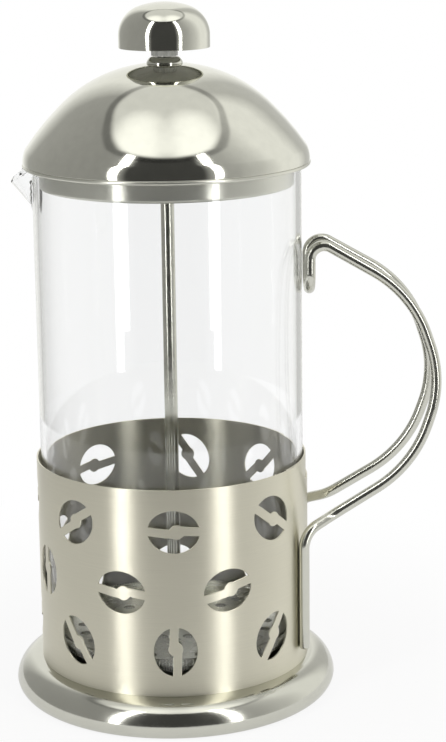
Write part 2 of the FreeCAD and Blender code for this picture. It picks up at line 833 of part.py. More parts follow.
def make_spreader_plate():
    """Top plate: a disc with an upright lip inside the edge coil and three rings of holes."""
    body = new_body("spreader_plate")
    sheet = cell("plate_sheet")
    edge = spreader_radius()
    turn(body, "spreader_disc", [
        (STUB_BORE, SPREADER_LOW),
        (edge, SPREADER_LOW),
        (edge, SPREADER_LOW + sheet + cell("spreader_lip")),
        (edge - sheet, SPREADER_LOW + sheet + cell("spreader_lip")),
        (edge - sheet, COLLAR_LOW),
        (STUB_BORE, COLLAR_LOW),
    ])
    for name, share, radius, count in SPREADER_HOLES:
        sketch = new_sketch(body, f"spreader_{name}_hole", "XY_Plane", SPREADER_LOW)
        draw_circle(sketch, as_size(radius), edge * share, 0)
        hole = drill(body, f"spreader_{name}_drill", sketch)
        ring_of(body, f"spreader_{name}_ring", hole, count)
    return body


def make_edge_coil():
    """The closed coil spring round the strainer's edge, as its outer ring."""
    ring = DOC.addObject("Part::Torus", "edge_coil")
    ring.Label = "edge_coil"
    bind(ring, "Radius1", GLASS_INNER - cell("coil_gap") - cell("coil_radius"))
    bind(ring, "Radius2", cell("coil_radius"))
    ring.Placement = Placement(Vector(0, 0, 0), Rotation())
    bind(ring, "Placement.Base.z", SPREADER_LOW + cell("coil_radius") + cell("coil_seat_gap"))
    return ring


def make_collar():
    return turned("hub_collar", tube_outline(STUB_BORE, cell("collar_radius"), COLLAR_LOW, ROD_SHOULDER))


def make_all():
    return [
        make_base_foot(),
        make_base_floor(),
        make_sleeve(),
        make_handle_wire(),
        make_beaker(),
        make_lid_dome(),
        make_lid_insert(),
        make_lid_bush(),
        make_hex_nut("bush_nut", cell("bush_nut_flats"), cell("bush_radius") + cell("running_gap"),
                     LID_TOP - cell("lid_sheet") - cell("bush_nut_height"), cell("bush_nut_height")),
        make_plunger_rod(),
        make_knob_core(),
        make_hex_nut("knob_nut", cell("knob_nut_flats"), STUB_BORE, CORE_TOP, cell("knob_nut_height")),
        make_knob_cap(),
        make_hex_nut("hub_nut", cell("hub_nut_flats"), STUB_BORE, NUT_LOW, cell("hub_nut_height")),
        make_washer(),
        make_cross_plate(),
        make_filter_mesh(),
        make_edge_coil(),
        make_spreader_plate(),
        make_collar(),
    ]


def check_and_write(pieces):
    DOC.recompute()
    for thing in DOC.Objects:
        if "Invalid" in thing.State or "Error" in thing.State:
            raise RuntimeError(f"{thing.Label}: {thing.State}")
    for piece in pieces:
        if piece.Shape.isNull() or not piece.Shape.isValid():
            raise RuntimeError(f"{piece.Label} has no sound shape")
        if len(piece.Shape.Solids) != 1:
            raise RuntimeError(f"{piece.Label} has {len(piece.Shape.Solids)} solids")
    os.makedirs("parts", exist_ok=True)
    for piece in pieces:
        piece.Shape.exportStep(os.path.join("parts", piece.Label + ".step"))
        box = piece.Shape.optimalBoundingBox(False)
        print(f"{piece.Label:16s} z {box.ZMin:7.2f} {box.ZMax:7.2f}  x {box.XMin:7.2f} {box.XMax:7.2f}"
              f"  volume {piece.Shape.Volume:9.1f}")


check_and_write(make_all())
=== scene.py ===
import json
import math

import bmesh
import bpy
from mathutils import Matrix, Vector


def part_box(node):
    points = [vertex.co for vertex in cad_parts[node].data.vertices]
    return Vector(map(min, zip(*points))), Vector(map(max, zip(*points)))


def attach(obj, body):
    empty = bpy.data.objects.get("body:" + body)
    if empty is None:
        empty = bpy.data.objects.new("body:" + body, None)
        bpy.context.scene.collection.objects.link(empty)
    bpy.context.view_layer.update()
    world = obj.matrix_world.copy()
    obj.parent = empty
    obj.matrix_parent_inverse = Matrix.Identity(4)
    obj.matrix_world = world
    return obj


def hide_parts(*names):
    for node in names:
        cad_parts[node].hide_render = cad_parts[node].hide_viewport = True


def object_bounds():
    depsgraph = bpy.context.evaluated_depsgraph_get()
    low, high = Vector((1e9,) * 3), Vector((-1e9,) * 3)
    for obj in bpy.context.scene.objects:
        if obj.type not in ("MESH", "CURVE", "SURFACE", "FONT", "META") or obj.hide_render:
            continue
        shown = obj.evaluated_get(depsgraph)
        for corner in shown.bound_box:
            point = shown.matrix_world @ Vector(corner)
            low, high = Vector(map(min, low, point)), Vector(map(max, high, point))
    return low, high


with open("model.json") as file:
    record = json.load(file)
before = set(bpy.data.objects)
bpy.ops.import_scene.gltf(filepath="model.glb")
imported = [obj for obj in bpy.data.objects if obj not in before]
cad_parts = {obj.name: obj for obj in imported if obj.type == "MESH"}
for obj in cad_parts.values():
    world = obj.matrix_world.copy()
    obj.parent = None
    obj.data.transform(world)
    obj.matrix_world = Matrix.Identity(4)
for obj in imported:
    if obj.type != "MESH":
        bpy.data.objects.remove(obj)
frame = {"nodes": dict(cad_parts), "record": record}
CAD_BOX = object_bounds()

# Lengths in this script are millimetres until a mesh is made.
MM = 0.001


# ---------------------------------------------------------------------------
# Camera: the photograph's own angle, a long lens a little above the press
# ---------------------------------------------------------------------------

CAMERA_BACK = 780.0
CAMERA_HEIGHT = 312.8
CAMERA_PITCH = 13.67
CAMERA_YAW = 1.45
CAMERA_ROLL = 0.75
CAMERA_LENS = 103.6


def make_camera():
    data = bpy.data.cameras.new("camera")
    data.lens = CAMERA_LENS
    data.sensor_width = 36.0
    camera = bpy.data.objects.new("camera", data)
    bpy.context.scene.collection.objects.link(camera)
    turn = Matrix.Rotation(math.radians(-CAMERA_YAW), 4, "Z")
    tilt = Matrix.Rotation(math.radians(90 - CAMERA_PITCH), 4, "X")
    roll = Matrix.Rotation(math.radians(-CAMERA_ROLL), 4, "Z")
    place = Matrix.Translation(Vector((0, -CAMERA_BACK, CAMERA_HEIGHT)) * MM)
    camera.matrix_world = place @ turn @ tilt @ roll
    bpy.context.scene.camera = camera


# ---------------------------------------------------------------------------
# Outlines: lists of (radius, height) points, in millimetres
# ---------------------------------------------------------------------------

def span(node):
    """Largest radius, lowest and highest point of a round CAD node, in millimetres."""
    low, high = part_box(node)
    return max(high.x, -low.x) / MM, low.z / MM, high.z / MM


def arc_points(start, finish, radius, step=4.0):
    """Points of the short arc after start; a positive radius has its centre on the left."""
    chord = finish - start
    half = chord.length / 2
    left = Vector((-chord.y, chord.x)).normalized()
    side = math.copysign(1, radius)
    centre = start + chord / 2 + left * side * math.sqrt(max(radius * radius - half * half, 0))
    swing = 2 * math.asin(min(half / abs(radius), 1)) * side
    count = max(2, math.ceil(math.degrees(abs(swing)) / step))
    arm = start - centre
    points = []
    for index in range(1, count + 1):
        a = swing * index / count
        points.append(centre + Vector((arm.x * math.cos(a) - arm.y * math.sin(a),
                                       arm.x * math.sin(a) + arm.y * math.cos(a))))
    points[-1] = finish
    return points


def eased(points, ease, sharp=28.0):
    """The closed outline with each sharp corner off the axis cut back by a small curve."""
    made = []
    count = len(points)
    for index, point in enumerate(points):
        before = points[index - 1] - point
        after = points[(index + 1) % count] - point
        bend = 180 - math.degrees(before.angle(after))
        if bend < sharp or point.x < 1e-6:
            made.append(point)
            continue
        cut = min(ease, before.length * 0.45, after.length * 0.45)
        first = point + before.normalized() * cut
        last = point + after.normalized() * cut
        for t in (0.0, 0.25, 0.5, 0.75, 1.0):
            made.append(first * (1 - t) ** 2 + point * 2 * t * (1 - t) + last * t * t)
    return made


def outline(corners, ease=0.15):
    """A corner is (radius, height), or (radius, height, bend) when an arc leads to it."""
    points = []
    previous = Vector(corners[-1][:2])
    for corner in corners:
        point = Vector(corner[:2])
        if len(corner) == 3:
            points.extend(arc_points(previous, point, corner[2]))
        else:
            points.append(point)
        previous = point
    return eased(points, ease)


# ---------------------------------------------------------------------------
# Meshes
# ---------------------------------------------------------------------------

MODELLED = set()


def finish_piece(name, work, body, slot, nodes, sharp=28.0, material=None):
    """Turns a bmesh in millimetres into a piece that rides on a body."""
    bmesh.ops.remove_doubles(work, verts=work.verts, dist=1e-4)
    bmesh.ops.recalc_face_normals(work, faces=work.faces)
    bmesh.ops.scale(work, vec=(MM, MM, MM), verts=work.verts)
    mesh = bpy.data.meshes.new(name)
    work.to_mesh(mesh)
    work.free()
    mesh.shade_smooth()
    mesh.set_sharp_from_angle(angle=math.radians(sharp))
    piece = bpy.data.objects.new(name, mesh)
    bpy.context.scene.collection.objects.link(piece)
    mesh.materials.append(MATERIALS[material or slot])
    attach(piece, body)
    if nodes:
        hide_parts(*nodes)
        MODELLED.update(nodes)
    return piece


def turn_points(work, points, count, reshape=None):
    """Revolves a closed outline about the vertical axis."""
    rings = []
    for point in points:
        if point.x < 1e-6:
            rings.append([work.verts.new((0, 0, point.y))])
            continue
        ring = []
        for index in range(count):
            a = 2 * math.pi * index / count
            radius = reshape(point, a) if reshape else point.x
            ring.append(work.verts.new((radius * math.cos(a), radius * math.sin(a), point.y)))
        rings.append(ring)
    for index, ring in enumerate(rings):
        following = rings[(index + 1) % len(rings)]
        if len(ring) == 1 and len(following) == 1:
            continue
        for k in range(count):
            n = (k + 1) % count
            corners = [ring[k % len(ring)], ring[n % len(ring)],
                       following[n % len(following)], following[k % len(following)]]
            unique = []
            for corner in corners:
                if corner not in unique:
                    unique.append(corner)
            work.faces.new(unique)


def lathe(name, corners, body, slot, nodes=None, count=192, ease=0.15, reshape=None, material=None):
    work = bmesh.new()
    turn_points(work, outline(corners, ease), count, reshape)
    return finish_piece(name, work, body, slot, [name] if nodes is None else nodes, material=material)


def smooth_line(points, radius, work, sides=28, closed=False):
    """Sweeps a circle along points with a frame that doesn't twist."""
    count = len(points)
    tangents = []
    for index in range(count):
        if closed:
            way = points[(index + 1) % count] - points[index - 1]
        else:
            way = points[min(index + 1, count - 1)] - points[max(index - 1, 0)]
        tangents.append(way.normalized())
    normal = tangents[0].orthogonal().normalized()
    rings = []
    for index, point in enumerate(points):
        if index:
            turn = tangents[index - 1].rotation_difference(tangents[index])
            normal = (turn @ normal).normalized()
        across = tangents[index].cross(normal)
        size = radius[index] if isinstance(radius, list) else radius
        rings.append([work.verts.new(point + (normal * math.cos(a) + across * math.sin(a)) * size)
                      for a in (2 * math.pi * k / sides for k in range(sides))])
    last = count if closed else count - 1
    for index in range(last):
        ring, following = rings[index], rings[(index + 1) % count]
        for k in range(sides):
            n = (k + 1) % sides
            work.faces.new((ring[k], ring[n], following[n], following[k]))
    if not closed:
        work.faces.new(list(reversed(rings[0])))
        work.faces.new(rings[-1])


# ---------------------------------------------------------------------------
# Node helpers
# ---------------------------------------------------------------------------

class Nodes:
    """A short way to build a node tree: add nodes, set their inputs and link them."""

    def __init__(self, tree):
        self.tree = tree
        tree.nodes.clear()

    def add(self, kind, inputs=None, **settings):
        node = self.tree.nodes.new(kind)
        for name, value in settings.items():
            setattr(node, name, value)
        for name, value in (inputs or {}).items():
            self.put(node.inputs[name], value)
        return node

    def put(self, socket, value):
        if isinstance(value, bpy.types.NodeSocket):
            self.tree.links.new(value, socket)
        elif isinstance(value, bpy.types.Node):
            self.tree.links.new(value.outputs[0], socket)
        else:
            socket.default_value = value

    def math(self, operation, first, second=0.0, third=0.0):
        node = self.add("ShaderNodeMath", operation=operation)
        self.put(node.inputs[0], first)
        self.put(node.inputs[1], second)
        self.put(node.inputs[2], third)
        return node.outputs[0]

    def ease(self, value, low, high):
        """0 below low, 1 above high and smooth between."""
        return self.add("ShaderNodeMapRange", {"Value": value, "From Min": low, "From Max": high},
                        interpolation_type="SMOOTHSTEP").outputs[0]

    def span(self, value, low, high, start=0.0, end=1.0):
        return self.add("ShaderNodeMapRange", {"Value": value, "From Min": start, "From Max": end,
                                               "To Min": low, "To Max": high}).outputs[0]

    def ramp(self, factor, stops):
        node = self.add("ShaderNodeValToRGB", {"Fac": factor})
        ramp = node.color_ramp
        while len(ramp.elements) < len(stops):
            ramp.elements.new(0.5)
        for element, (position, colour) in zip(ramp.elements, stops):
            element.position = position
            element.color = grey(colour) if isinstance(colour, (int, float)) else (*colour, 1)
        return node.outputs["Color"]

    def noise(self, scale, stretch=(1, 1, 1), detail=3.0, roughness=0.5):
        """Noise in object space, in cycles per metre, stretched along the axes."""
        coords = self.add("ShaderNodeTexCoord")
        mapping = self.add("ShaderNodeMapping", {"Vector": coords.outputs["Object"], "Scale": stretch})
        return self.add("ShaderNodeTexNoise", {"Vector": mapping.outputs[0], "Scale": scale,
                                               "Detail": detail, "Roughness": roughness}).outputs[0]


def grey(value):
    return (value, value, value, 1)


def shade(tint, share):
    return tuple(part * share for part in tint)


def start_material(name):
    made = bpy.data.materials.new(name)
    made.use_nodes = True
    return made, Nodes(made.node_tree)


def end_material(made, nodes, shader):
    output = nodes.add("ShaderNodeOutputMaterial")
    nodes.put(output.inputs["Surface"], shader.outputs[0])
    return made


# ---------------------------------------------------------------------------
# Materials
# ---------------------------------------------------------------------------

def polished_steel(name, tint, rough=0.06, haze_scale=260, wave_depth=0.05):
    """Buffed stainless steel: faint waviness and a cloudy polish."""
    made, nodes = start_material(name)
    haze = nodes.noise(haze_scale, detail=5.0)
    bump = nodes.add("ShaderNodeBump", {"Height": nodes.noise(45), "Strength": wave_depth,
                                        "Distance": 0.0004})
    colour = nodes.ramp(haze, [(0.3, shade(tint, 0.95)), (0.7, tint)])
    shader = nodes.add("ShaderNodeBsdfPrincipled", {
        "Base Color": colour, "Metallic": 1.0,
        "Roughness": nodes.span(haze, rough * 0.6, rough * 1.5), "Normal": bump})
    return end_material(made, nodes, shader)


def brushed_steel(name, tint, rough=0.3, anisotropic=0.85, grain_depth=0.12):
    """Steel brushed round the axis: the grooves run level, so lights smear upwards."""
    made, nodes = start_material(name)
    grain = nodes.noise(60, stretch=(1, 1, 160), detail=4.0)
    fine = nodes.noise(40, stretch=(1, 1, 900), detail=2.0)
    patch = nodes.noise(25, detail=2.0)
    height = nodes.math("ADD", nodes.math("MULTIPLY", grain, 0.6), nodes.math("MULTIPLY", fine, 0.4))
    bump = nodes.add("ShaderNodeBump", {"Height": height, "Strength": grain_depth, "Distance": 0.0002})
    mixed = nodes.math("ADD", nodes.math("MULTIPLY", height, 0.7), nodes.math("MULTIPLY", patch, 0.3))
    colour = nodes.ramp(mixed, [(0.3, shade(tint, 0.9)), (0.7, shade(tint, 1.04))])
    tangent = nodes.add("ShaderNodeTangent", direction_type="RADIAL", axis="Z")
    shader = nodes.add("ShaderNodeBsdfPrincipled", {
        "Base Color": colour, "Metallic": 1.0,
        "Roughness": nodes.span(height, rough * 0.85, rough * 1.2), "Normal": bump,
        "Anisotropic": anisotropic, "Anisotropic Rotation": 0.25, "Tangent": tangent})
    return end_material(made, nodes, shader)


def woven_steel(name, tint, pitch=0.9):
    """Plain weave of fine wire: two crossed waves that pass over each other in turn, with painted shade
    darkening the hollows of the weave.
    """
    made, nodes = start_material(name)
    coords = nodes.add("ShaderNodeTexCoord")
    parts = nodes.add("ShaderNodeSeparateXYZ", {"Vector": coords.outputs["Object"]})
    turns = 2 * math.pi / (pitch * MM)
    along = nodes.math("SINE", nodes.math("MULTIPLY", parts.outputs["X"], turns))
    across = nodes.math("SINE", nodes.math("MULTIPLY", parts.outputs["Y"], turns))
    height = nodes.span(nodes.math("MAXIMUM", along, across), 0, 1, -0.6, 1.0)
    bump = nodes.add("ShaderNodeBump", {"Height": height, "Strength": 0.8, "Distance": 0.0002})
    # painted shade: the colour falls to 0.12 of the tint where the weave is low, in the hollows between and
    # under the wires
    colour = nodes.ramp(height, [(0.1, shade(tint, 0.12)), (0.6, shade(tint, 0.8)), (1.0, tint)])
    shader = nodes.add("ShaderNodeBsdfPrincipled", {"Base Color": colour, "Metallic": 1.0,
                                                    "Roughness": 0.35, "Normal": bump})
    return end_material(made, nodes, shader)


def clear_glass(name):
    """Blown glass: clear, with a trace of waviness and wiping haze."""
    made, nodes = start_material(name)
    bump = nodes.add("ShaderNodeBump", {"Height": nodes.noise(18, detail=1.0), "Strength": 0.04,
                                        "Distance": 0.0004})
    haze = nodes.noise(30, stretch=(1, 1, 0.3))
    shader = nodes.add("ShaderNodeBsdfPrincipled", {
        "Base Color": (0.99, 0.993, 0.993, 1), "Transmission Weight": 1.0, "IOR": 1.42,
        "Roughness": nodes.span(haze, 0.0, 0.02, 0.55, 1.0), "Normal": bump})
    return end_material(made, nodes, shader)


def milky_polymer(name, tint):
    """Natural polypropylene: cloudy, soft at its edges and lightly mottled."""
    made, nodes = start_material(name)
    mottle = nodes.noise(300, detail=4.0)
    colour = nodes.ramp(mottle, [(0.3, shade(tint, 0.9)), (0.7, tint)])
    bump = nodes.add("ShaderNodeBump", {"Height": mottle, "Strength": 0.1, "Distance": 0.0001})
    shader = nodes.add("ShaderNodeBsdfPrincipled", {
        "Base Color": colour, "Roughness": nodes.span(mottle, 0.35, 0.5), "Transmission Weight": 0.35,
        "Normal": bump})
    return end_material(made, nodes, shader)


STEEL = (0.73, 0.728, 0.655)
BRUSHED_STEEL = (0.78, 0.752, 0.625)

MATERIALS = {
    "polished_steel": polished_steel("polished_steel", STEEL, 0.07),
    # the foot, the wire and the rod take darker copies of the same steel tint (0.88 and 0.9): painted shade for
    # the dimmer room these parts mirror
    "foot_steel": polished_steel("foot_steel", shade(STEEL, 0.88), 0.13, 90, 0.12),
    "polished_wire": polished_steel("polished_wire", shade(STEEL, 0.9), 0.17),
    "plated_steel": polished_steel("plated_steel", shade(STEEL, 0.95), 0.14),
    "brushed_steel": brushed_steel("brushed_steel", BRUSHED_STEEL, 0.34, 1.0),
    "pan_steel": brushed_steel("pan_steel", STEEL, 0.33, 0.9, 0.05),
    "strainer_steel": brushed_steel("strainer_steel", shade(STEEL, 0.95), 0.26),
    "woven_steel": woven_steel("woven_steel", shade(STEEL, 0.9)),
    "glass": clear_glass("glass"),
    "milky_polymer": milky_polymer("milky_polymer", (0.82, 0.82, 0.78)),
}


# ---------------------------------------------------------------------------
# Frame of the press: foot, sleeve and handle
# ---------------------------------------------------------------------------

def make_foot():
    """Pressed ring with a cove, a convex flank and a hem rolled under."""
    rim, low, shelf = span("base_foot")
    sheet = 0.8
    widest = low + 4.6
    lathe("base_foot", [
        (43.6, shelf - sheet), (52.1, shelf - sheet), (rim - sheet, widest, -8.75),
        (rim - 3.6, low + sheet, -4.6), (rim - 6.2, low + sheet), (rim - 6.2, low),
        (rim - 3.6, low), (rim, widest, 5.4), (52.4, shelf - 0.3, 9.29), (51.4, shelf),
        (43.6, shelf)],
        "frame", "polished_steel", count=256, ease=0.2, material="foot_steel")


LAP_FROM, LAP_OPEN, LAP_STEP, LAP_TO = 56.0, 62.0, 116.0, 118.0
LAP_DROP, LAP_SLOPE = 9.0, 0.59

# Rows of punched beans: share of the sleeve's height below its rim, then each bean's
# direction round the sleeve from -Y towards +X and the tilt of its band, in degrees.
BEAN_ROWS = [
    (0.20, [(0, -6), (45, -37), (-45, 32), (-90, 20), (-142, -7), (172, 55), (134, -43)]),
    (0.50, [(-22.5, -8), (22.5, 12), (-67.5, 88), (-112.5, -30), (-157.5, 40), (157.5, 5)]),
    (0.78, [(0, 88), (45, 55), (-45, -56), (-90, 10), (-135, 62), (180, -12), (135, 30)]),
]
BEAN_LONG, BEAN_SHORT, BEAN_BAND, BEAN_STEP, BEAN_BULGE, BEAN_SHIFT = 18.8, 16.0, 3.2, 0.75, 2.7, 1.0


def bean_half(side):
    """Edge of the opening above (side 1) or below (side -1) a bean's stepped band."""
    a, b = BEAN_LONG / 2, BEAN_SHORT / 2

    def band(u):
        edge = (BEAN_STEP if u > 0 else -BEAN_STEP) + side * BEAN_BAND / 2
        reach = BEAN_BULGE ** 2 - (u - BEAN_SHIFT) ** 2
        return side * max(side * edge, math.sqrt(reach)) if reach > 0 else edge

    left, right = (-a * math.sqrt(1 - ((s * BEAN_STEP + side * BEAN_BAND / 2) / b) ** 2) * -s
                   for s in (-1, 1))
    steps = 36
    points = [Vector((u, band(u))) for u in (left + (right - left) * k / steps for k in range(steps + 1))]
    first = math.atan2(points[-1].y / b, points[-1].x / a)
    last = math.atan2(points[0].y / b, points[0].x / a)
    swing = (last - first) % (2 * math.pi) if side > 0 else -((first - last) % (2 * math.pi))
    for k in range(1, 28):
        angle = first + swing * k / 28
        points.append(Vector((a * math.cos(angle), b * math.sin(angle))))
    return points


def flat_sheet(name, outer, holes, thick, edge=0.09):
    """Mesh of a flat sheet with holes and eased edges, lying in XY."""
    curve = bpy.data.curves.new(name + "_flat", "CURVE")
    curve.dimensions = "2D"
    curve.fill_mode = "BOTH"
    curve.extrude = thick / 2 - edge
    curve.bevel_depth = edge
    curve.bevel_resolution = 1
    curve.offset = -edge
    for loop in [outer] + holes:
        spline = curve.splines.new("POLY")
        spline.points.add(len(loop) - 1)
        for point, (x, y) in zip(spline.points, loop):
            point.co = (x, y, 0, 1)
        spline.use_cyclic_u = True
    holder = bpy.data.objects.new(name + "_flat", curve)
    bpy.context.scene.collection.objects.link(holder)
    bpy.context.view_layer.update()
    mesh = bpy.data.meshes.new_from_object(holder.evaluated_get(bpy.context.evaluated_depsgraph_get()))
    bpy.data.objects.remove(holder)
    bpy.data.curves.remove(curve)
    work = bmesh.new()
    work.from_mesh(mesh)
    bpy.data.meshes.remove(mesh)
    bmesh.ops.remove_doubles(work, verts=work.verts, dist=1e-4)
    return work


def roll_up(work, middle, first, last, step=1.5):
    """Cuts the flat sheet into narrow strips and bends its X, in degrees, round the axis."""
    at = first + step
    while at < last - 1e-6:
        everything = work.verts[:] + work.edges[:] + work.faces[:]
        bmesh.ops.bisect_plane(work, geom=everything, plane_co=(at, 0, 0), plane_no=(1, 0, 0), dist=1e-5)
        at += step
    for vert in work.verts:
        a = math.radians(vert.co.x - 90)
        radius = middle + vert.co.z
        vert.co = Vector((radius * math.cos(a), radius * math.sin(a), vert.co.y))


def radial_normals(piece):
    """Gives the rolled faces the exact normals of their cylinder."""
    mesh = piece.data
    normals = []
    for polygon in mesh.polygons:
        for index in polygon.vertices:
            place = mesh.vertices[index].co
            out = Vector((place.x, place.y, 0)).normalized()
            lean = polygon.normal.dot(out)
            normals.append(out * math.copysign(1, lean) if abs(lean) > 0.98 else polygon.normal.copy())
    mesh.normals_split_custom_set(normals)


def make_sleeve():
    """Punched sheet rolled into a sleeve; its inner end shows behind a cut corner."""
    radius, low, high = span("sleeve")
    sheet = 0.6
    middle = radius - sheet / 2
    step = math.degrees(math.asin(LAP_DROP / LAP_SLOPE / radius))
    floor_z = high - LAP_DROP
    start, end = LAP_STEP - 360, LAP_STEP
    outer = [(start, low), (end, low), (end, floor_z), (LAP_OPEN + step, floor_z)]
    slant = 8
    for k in range(slant - 1, -1, -1):
        turn = step * k / slant
        outer.append((LAP_OPEN + turn, high - LAP_SLOPE * radius * math.sin(math.radians(turn))))
    outer.append((start, high))
    holes = []
    for share, beans in BEAN_ROWS:
        z = high - (high - low) * share
        for around, tilt in beans:
            turned = around - 360 if around > LAP_STEP else around
            c, s = math.cos(math.radians(tilt)), math.sin(math.radians(tilt))
            for side in (1, -1):
                loop = []
                for p in bean_half(side):
                    u, v = p.x * c - p.y * s, p.x * s + p.y * c
                    loop.append((turned + math.degrees(math.asin(u / radius)), z + v))
                holes.append(loop)
    # the flat sheet is laid out in millimetres, so that its eased edges keep their size
    size = math.radians(1) * middle
    flat = [(x * size, y) for x, y in outer]
    flat_holes = [[(x * size, y) for x, y in loop] for loop in holes]
    work = flat_sheet("sleeve", flat, flat_holes, sheet)
    for vert in work.verts:
        vert.co.x /= size
    roll_up(work, middle, start, end)
    strip = flat_sheet("lap", [(LAP_FROM * size, low), (LAP_TO * size, low), (LAP_TO * size, high),
                               (LAP_FROM * size, high)], [], sheet)
    for vert in strip.verts:
        vert.co.x /= size
    roll_up(strip, middle - sheet, LAP_FROM, LAP_TO)
    spare = bpy.data.meshes.new("lap_strip")
    strip.to_mesh(spare)
    strip.free()
    work.from_mesh(spare)
    bpy.data.meshes.remove(spare)
    piece = finish_piece("sleeve", work, "frame", "brushed_steel", ["sleeve"], sharp=20.0)
    radial_normals(piece)


# Corners of one leg of the handle wire, from its welded lower end to the hook:
# distance out from the sleeve, half the spread between the two legs, drop below the glass
# rim, bend radius.
HANDLE_CORNERS = [
    (8.8, 14.0, 132.4, 14.0),
    (39.1, 12.3, 114.1, 44.0),
    (50.0, 10.6, 82.4, 42.0),
    (38.8, 9.2, 49.0, 44.0),
]
WIRE_RADIUS, WIRE_GAP = 2.0, 0.05
WELD_BEND_DROP, WELD_BEND_RADIUS = 137.1, 8.5
HOOK_GLASS_GAP, HOOK_SPREAD, HOOK_BEND_RADIUS = 0.7, 7.2, 5.2
HOOK_TOP_DROP, HOOK_LOW_DROP, HOOK_LOOP_SHARE = 27.1, 48.0, 0.96


def rounded_path(corners, step=3.0):
    """Points of straight runs joined by tangent arcs; each corner is (point, radius)."""
    points = [corners[0][0]]
    for index in range(1, len(corners) - 1):
        corner, radius = corners[index]
        back = (corners[index - 1][0] - corner).normalized()
        ahead = (corners[index + 1][0] - corner).normalized()
        half = back.angle(ahead) / 2
        inward = (back + ahead).normalized()
        centre = corner + inward * (radius / math.sin(half))
        first = corner + back * (radius / math.tan(half)) - centre
        last = corner + ahead * (radius / math.tan(half)) - centre
        swing = math.pi - 2 * half
        count = max(3, math.ceil(math.degrees(swing) / step))
        for k in range(count + 1):
            t = k / count
            arm = (first * math.sin((1 - t) * swing) + last * math.sin(t * swing)) / math.sin(swing)
            points.append(centre + arm)
    points.append(corners[-1][0])
    return points


def make_handle():
    """One wire bent double: two welded legs, a wide grip and a hook at the glass."""
    sleeve, _, _ = span("sleeve")
    glass, _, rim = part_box("beaker")[1] / MM
    low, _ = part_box("handle_wire")
    weld_out = sleeve + WIRE_RADIUS + WIRE_GAP
    leg_x = low.x / MM + WIRE_RADIUS
    leg_y = math.sqrt(weld_out ** 2 - leg_x ** 2)
    hook_out = glass + HOOK_GLASS_GAP + WIRE_RADIUS
    half = [(Vector((leg_x, leg_y, low.z / MM)), 0)]
    half.append((Vector((leg_x, leg_y, rim - WELD_BEND_DROP)), WELD_BEND_RADIUS))
    for out, side, drop, radius in HANDLE_CORNERS:
        half.append((Vector((sleeve + out, side, rim - drop)), radius))
    half.append((Vector((hook_out, HOOK_SPREAD, rim - HOOK_TOP_DROP)), HOOK_BEND_RADIUS))
    half.append((Vector((hook_out, HOOK_SPREAD, rim - HOOK_LOW_DROP)), HOOK_SPREAD * HOOK_LOOP_SHARE))
    mirrored = [(Vector((p.x, -p.y, p.z)), radius) for p, radius in reversed(half)]
    path = rounded_path(half + mirrored)
    # the wire's cut ends are filed round
    foot = Vector((0, 0, 1))
    radii = [WIRE_RADIUS] * len(path)
    ends = [(0.0, 0.72), (0.2, 0.88), (0.55, 0.97), (1.0, 1.0)]
    first = [path[0] + foot * up for up, _ in ends]
    last = [path[-1] + foot * up for up, _ in reversed(ends)]
    path = first + path[1:-1] + last
    tips = [WIRE_RADIUS * k for _, k in ends]
    radii = tips + radii[1:-1] + tips[::-1]
    work = bmesh.new()
    smooth_line(path, radii, work, sides=32)
    finish_piece("handle_wire", work, "frame", "polished_wire", ["handle_wire"], sharp=50.0)


# ---------------------------------------------------------------------------
# Beaker
# ---------------------------------------------------------------------------

WALL = 2.0
SPOUT_DEPTH, SPOUT_DROP, SPOUT_LIP, SPOUT_SHARE = 17.0, 5.4, 10.0, 0.5


def blend_max(a, b, soft):
    """The larger of two lengths, with a smooth change from one to the other."""
    h = max(soft - abs(a - b), 0.0) / soft
    return max(a, b) + h * h * soft / 4


